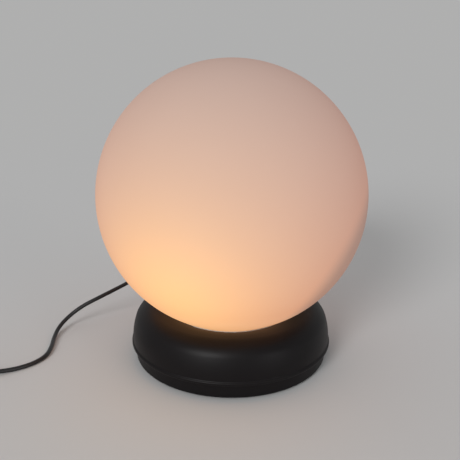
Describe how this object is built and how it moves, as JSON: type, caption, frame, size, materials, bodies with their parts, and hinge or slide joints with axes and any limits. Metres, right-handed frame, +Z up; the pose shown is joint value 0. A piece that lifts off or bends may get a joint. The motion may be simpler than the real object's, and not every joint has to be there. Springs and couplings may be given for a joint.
{
  "type": "globe table lamp",
  "caption": "Table lamp: a satin opal glass globe rests in a squat black base; leaning lampholder, corded inline switch and plug.",
  "frame": {"origin": "centre of the base, on the surface that the lamp stands on", "axes": "+Z up; -Y is the front; the cord leaves at the back, towards -X"},
  "size_m": [0.5662, 0.3173, 0.341],
  "materials": {
    "opal_glass": "satin opal, lit from inside",
    "gasket_silicone": "matte",
    "base_paint": "satin black",
    "pan_paint": "matte black",
    "zinc_steel": "bright zinc",
    "cast_ballast": "rough cast",
    "foot_pad": "felted",
    "brass": "turned",
    "holder_plastic": "moulded",
    "holder_ceramic": "unglazed ceramic",
    "bulb_glass": "clear",
    "bulb_cap_nickel": "nickel plated",
    "bulb_black_glass": "vitrified",
    "solder": "soldered",
    "bulb_wire": "drawn wire",
    "filament": "glowing",
    "cord_sheath": "smooth vinyl",
    "core_brown": "insulated wire",
    "core_blue": "insulated wire",
    "switch_plastic": "fine texture",
    "rocker_plastic": "gloss",
    "plug_plastic": "moulded",
    "pin_nickel": "nickel plated",
    "steel_screw": "zinc plated"
  },
  "bodies": {
    "base": {"globe_gasket": "gasket_silicone", "base_shell": "base_paint", "shell_lugs": "zinc_steel", "base_pan": "pan_paint", "foot_ring": "foot_pad", "ballast_weight": "cast_ballast", "pan_screws": "steel_screw", "lampholder_bracket": "zinc_steel", "bracket_screws": "steel_screw", "threaded_tube": "brass", "tube_washer": "zinc_steel", "tube_nut_lower": "brass", "tube_nut_upper": "brass", "lampholder_cap": "holder_plastic", "lampholder_skirt": "holder_plastic", "lampholder_core": "holder_ceramic", "lampholder_screw_sleeve": "brass", "lampholder_contacts": "brass", "cord_gland": "cord_sheath", "cord_inlet": "cord_sheath", "cord_clamp": "holder_plastic", "cord_clamp_screws": "steel_screw", "lead_live": "core_brown", "lead_neutral": "core_blue", "cord_to_switch": "cord_sheath", "cord_to_coil": "cord_sheath", "cord_coil": "cord_sheath", "cord_tie": "cord_sheath", "cord_to_plug": "cord_sheath", "switch_lower": "switch_plastic", "switch_upper": "switch_plastic", "switch_screws": "steel_screw", "switch_pin": "steel_screw", "switch_contacts": "brass", "switch_cores": "core_brown", "switch_cord_ends": "cord_sheath", "plug_body": "plug_plastic", "plug_cord_end": "cord_sheath", "plug_pins": "pin_nickel", "plug_sleeves": "plug_plastic"},
    "globe": {"globe": "opal_glass"},
    "bulb_carriage": {"bulb_tip": "solder"},
    "bulb": {"bulb_glass": "bulb_glass", "bulb_cap": "bulb_cap_nickel", "bulb_insulator": "bulb_black_glass", "bulb_stem": "bulb_glass", "bulb_wires": "bulb_wire", "bulb_filament": "filament"},
    "rocker": {"switch_rocker": "rocker_plastic"}
  },
  "joints": [
    {"name": "globe_lift", "type": "slide", "parent": "base", "child": "globe", "axis": [0, 0, 1], "range_m": [0, 0.155]},
    {"name": "bulb_rise", "type": "slide", "parent": "base", "child": "bulb_carriage", "axis": [-0.0762, -0.1934, 0.9781], "range_m": [0, 0.02175]},
    {"name": "bulb_unscrew", "type": "hinge", "parent": "bulb_carriage", "child": "bulb", "pos_m": [0, 0, 0.036], "axis": [-0.0762, -0.1934, 0.9781], "range_deg": [0, 2160]},
    {"name": "rocker_tilt", "type": "hinge", "parent": "base", "child": "rocker", "pos_m": [-0.325, -0.071, 0.013], "axis": [0, 1, 0], "range_deg": [-24, 0]}
  ],
  "couplings": [
    {"joint": "bulb_rise", "follows": "bulb_unscrew", "m_per_rad": 0.00057614}
  ]
}
